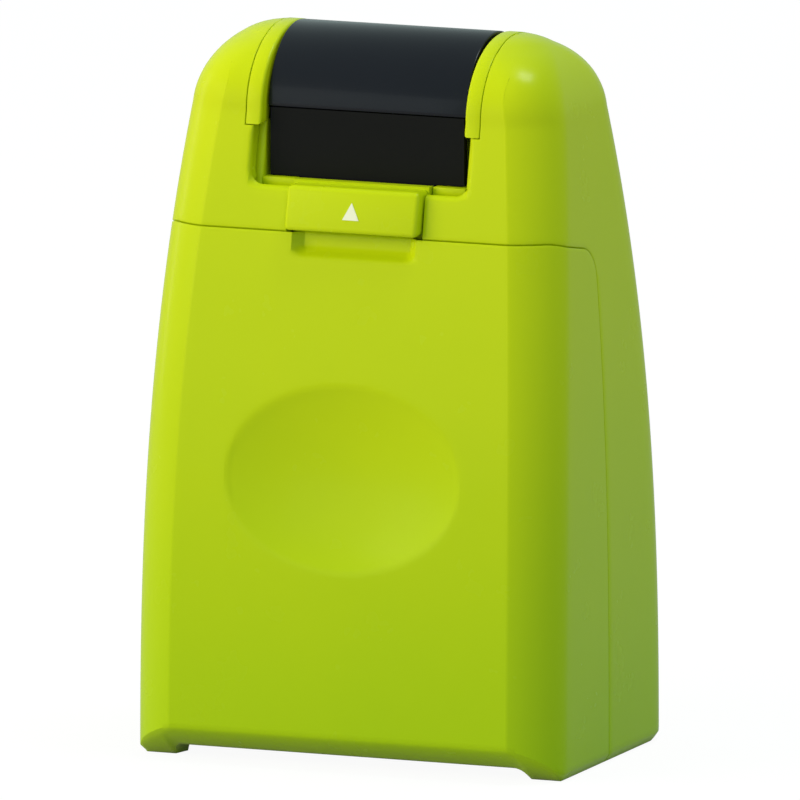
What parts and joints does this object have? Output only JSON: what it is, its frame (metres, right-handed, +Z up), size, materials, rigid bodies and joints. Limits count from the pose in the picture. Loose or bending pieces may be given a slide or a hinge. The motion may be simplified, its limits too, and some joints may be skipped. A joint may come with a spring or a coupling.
{
  "type": "roller stamp",
  "caption": "Hand-held privacy roller stamp in a tapered case: a thumb slide swings a curved shutter back over an inked pattern roller.",
  "frame": {"origin": "centre of the base, on the plane that the feet stand on", "axes": "+Z up from the base to the roller, -Y to the front with the thumb dimple and the slide, +X to the right of that front seen from behind it"},
  "size_m": [0.0454, 0.033, 0.0725],
  "materials": {
    "green_shell": "satin",
    "green_inner": "satin",
    "black_gloss": "glossy",
    "black_matte": "satin",
    "white_plastic": "satin",
    "grey_rubber": "matte",
    "ink_felt": "matte",
    "steel": "brushed"
  },
  "bodies": {
    "case": {"rear_case": "green_shell", "guide_frame": "green_inner", "frame_screws": "steel", "shutter_pins": "steel", "slide_spring": "steel", "spring_rod": "steel", "cartridge_frame": "black_matte", "stamp_axle": "steel", "ink_axle": "steel", "ink_springs": "steel"},
    "panel": {"front_panel": "green_shell"},
    "slide": {"slide_button": "green_shell", "slide_carrier": "green_inner"},
    "shutter": {"shutter": "black_gloss", "shutter_gear": "black_matte"},
    "stamp_roller": {"stamp_core": "white_plastic", "stamp_rubber": "grey_rubber", "grip_rings": "grey_rubber"},
    "ink_roller": {"ink_core": "white_plastic", "ink_felt": "ink_felt"}
  },
  "joints": [
    {"name": "panel_pull", "type": "slide", "parent": "case", "child": "panel", "axis": [0, -1, 0], "range_m": [0, 0.03]},
    {"name": "thumb_slide", "type": "slide", "parent": "case", "child": "slide", "axis": [0, 0, 1], "range_m": [0, 0.0052], "stiffness_N_per_m": 120, "springref_m": -0.003, "deforming": ["slide_spring"]},
    {"name": "shutter_swing", "type": "hinge", "parent": "case", "child": "shutter", "pos_m": [0, -0.0006, 0.0646], "axis": [-1, 0, 0], "range_deg": [0, 99.4]},
    {"name": "stamp_roll", "type": "hinge", "parent": "case", "child": "stamp_roller", "pos_m": [0, -0.0006, 0.0646], "axis": [1, 0, 0], "continuous": true},
    {"name": "ink_roll", "type": "hinge", "parent": "case", "child": "ink_roller", "pos_m": [0, -0.00244, 0.05416], "axis": [1, 0, 0], "continuous": true}
  ],
  "couplings": [
    {"joint": "shutter_swing", "follows": "thumb_slide", "rad_per_m": 333.33},
    {"joint": "ink_roll", "follows": "stamp_roll", "ratio": -1.8611}
  ]
}
